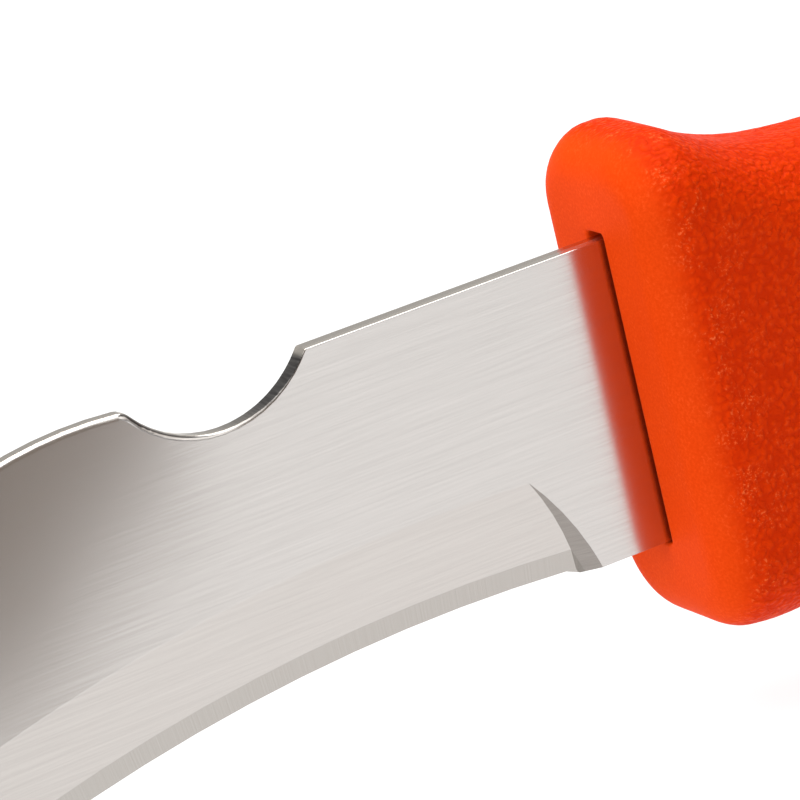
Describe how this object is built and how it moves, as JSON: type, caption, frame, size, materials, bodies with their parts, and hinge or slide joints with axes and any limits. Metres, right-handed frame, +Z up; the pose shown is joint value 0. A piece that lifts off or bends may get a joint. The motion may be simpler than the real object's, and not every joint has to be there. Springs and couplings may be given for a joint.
{
  "type": "rigging knife",
  "caption": "Fixed-blade rigging knife with a hooked blade, round spine notch, textured moulded handle and a swinging lanyard bail at the butt.",
  "frame": {"origin": "bottom centre of the whole knife's box, with the blade upright and the spine up", "axes": "+X along the knife from the tip to the butt, +Y across from the near side to the far side, +Z up from the edge to the spine"},
  "size_m": [0.2073, 0.0242, 0.0506],
  "materials": {
    "blade_steel": "satin, brushed along the blade",
    "handle_plastic": "orange, pebbled grain, semi-gloss on the grain and smooth on the front face",
    "rivet_steel": "satin turned",
    "fitting_steel": "tumbled and polished",
    "bush_brass": "as turned",
    "washer_plastic": "black acetal, smooth"
  },
  "bodies": {
    "knife": {"blade": "blade_steel", "handle": "handle_plastic", "front_rivet_barrel": "rivet_steel", "front_rivet_post": "rivet_steel", "rear_rivet_barrel": "rivet_steel", "rear_rivet_post": "rivet_steel", "butt_bush": "bush_brass", "bail_pin": "fitting_steel", "bail_pin_rove": "fitting_steel", "bail_washer_near": "washer_plastic", "bail_washer_far": "washer_plastic"},
    "bail": {"bail": "fitting_steel"}
  },
  "joints": [
    {"name": "bail_swing", "type": "hinge", "parent": "knife", "child": "bail", "pos_m": [0.09115, 0, 0.02817], "axis": [0, -1, 0], "range_deg": [-45, 225]}
  ]
}
